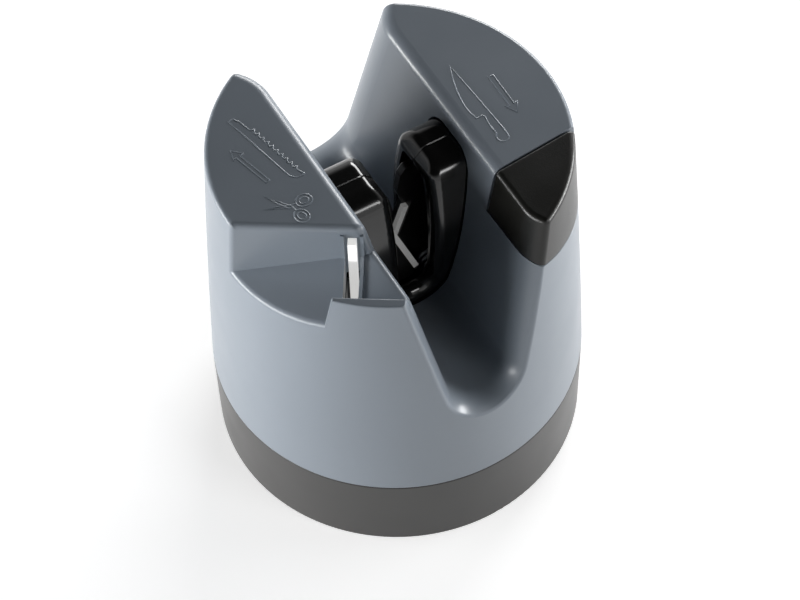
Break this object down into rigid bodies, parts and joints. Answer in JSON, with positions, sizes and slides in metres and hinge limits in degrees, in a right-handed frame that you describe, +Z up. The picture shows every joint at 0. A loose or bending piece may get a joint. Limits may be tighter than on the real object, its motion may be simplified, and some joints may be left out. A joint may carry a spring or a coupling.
{
  "type": "manual knife sharpener",
  "caption": "Round tabletop knife sharpener with a through groove, two crossed abrasive plates on sprung arms, and a side notch with a fixed upright bar.",
  "frame": {"origin": "middle of the footprint, on the surface it stands on", "axes": "+Z up; the groove runs along Y and the user stands at -Y; the notch is on the -X peak and the corner cap on the +X peak"},
  "size_m": [0.088, 0.088, 0.0955],
  "materials": {
    "housing": "satin-gloss grey-blue moulding",
    "cap": "black with a fine spark grain",
    "frame_gloss": "polished black",
    "arm_black": "satin black",
    "inner_plastic": "plain dark moulding",
    "base_grey": "satin dark warm grey",
    "foot_rubber": "matte black rubber",
    "abrasive": "light grey ground carbide",
    "bar_steel": "pale ground bar",
    "pin_steel": "ground steel",
    "spring_steel": "drawn wire",
    "screw_steel": "zinc-plated",
    "ballast_iron": "plain disc"
  },
  "bodies": {
    "body": {"housing": "housing", "corner_cap": "cap", "fixed_bar": "bar_steel", "bar_holder": "inner_plastic", "holder_screws": "screw_steel", "front_frame": "frame_gloss", "back_frame": "frame_gloss", "frame_screws": "screw_steel", "ear_screws": "screw_steel", "left_pin": "pin_steel", "right_pin": "pin_steel", "left_spring": "spring_steel", "right_spring": "spring_steel", "base_ring": "base_grey", "base_plate": "inner_plastic", "base_screws": "screw_steel", "ballast": "ballast_iron", "ballast_screws": "screw_steel", "rubber_foot": "foot_rubber"},
    "left_arm": {"left_arm": "arm_black", "left_plate": "abrasive"},
    "right_arm": {"right_arm": "arm_black", "right_plate": "abrasive"}
  },
  "joints": [
    {"name": "left_arm_swing", "type": "hinge", "parent": "body", "child": "left_arm", "pos_m": [-0.008, -0.0013, 0.0504], "axis": [0, -1, 0], "range_deg": [0, 10], "stiffness_Nm_per_rad": 0.1, "springref_deg": -17.19, "deforming": ["left_spring"]},
    {"name": "right_arm_swing", "type": "hinge", "parent": "body", "child": "right_arm", "pos_m": [0.008, -0.0013, 0.0504], "axis": [0, 1, 0], "range_deg": [0, 10], "stiffness_Nm_per_rad": 0.1, "springref_deg": -17.19, "deforming": ["right_spring"]}
  ]
}
